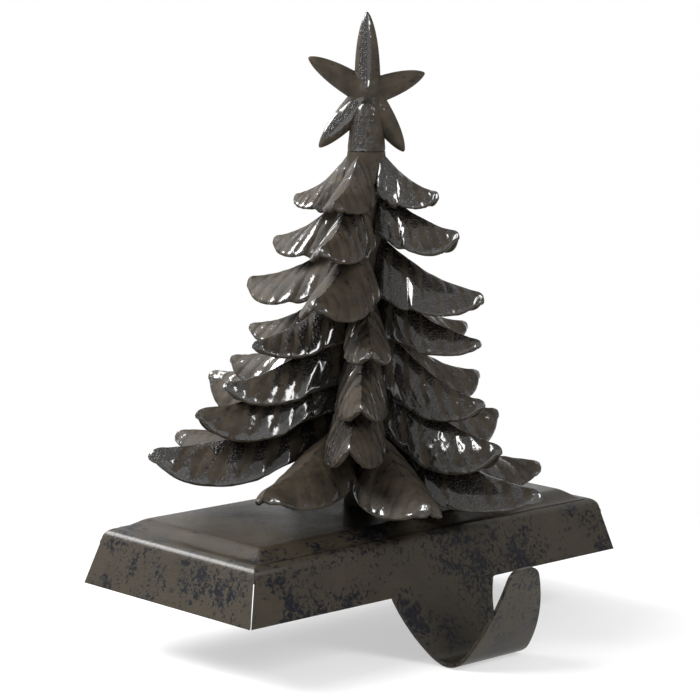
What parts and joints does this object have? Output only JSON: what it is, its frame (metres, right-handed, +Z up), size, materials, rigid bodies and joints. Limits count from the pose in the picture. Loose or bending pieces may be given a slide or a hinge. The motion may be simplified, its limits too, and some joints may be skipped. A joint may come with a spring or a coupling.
{
  "type": "mantel stocking holder",
  "caption": "Dark metal mantel stocking holder: a folded sheet base with a strap hook at the front carries a cast evergreen tree in stacked branch rings with a star on top.",
  "frame": {"origin": "middle of the base's rim plane, which rests on the mantel shelf", "axes": "+X along the base, -Y towards the room and the hook, +Z up the tree"},
  "size_m": [0.15, 0.1243, 0.1794],
  "materials": {
    "castings": "brown-black lacquer, glossy in the ribs, over a rough casting",
    "base_sheet": "satin brown-grey lacquer with darker mottling on folded sheet steel",
    "fastener_steel": "plain zinc-plated steel"
  },
  "bodies": {
    "root": {"mantel_base": "base_sheet", "trunk_post": "castings", "branch_ring_1": "castings", "branch_ring_2": "castings", "branch_ring_3": "castings", "branch_ring_4": "castings", "branch_ring_5": "castings", "branch_ring_6": "castings", "branch_ring_7": "castings", "star_finial": "castings", "tie_rod": "fastener_steel", "tie_washer": "fastener_steel", "tie_nut": "fastener_steel"}
  },
  "joints": []
}
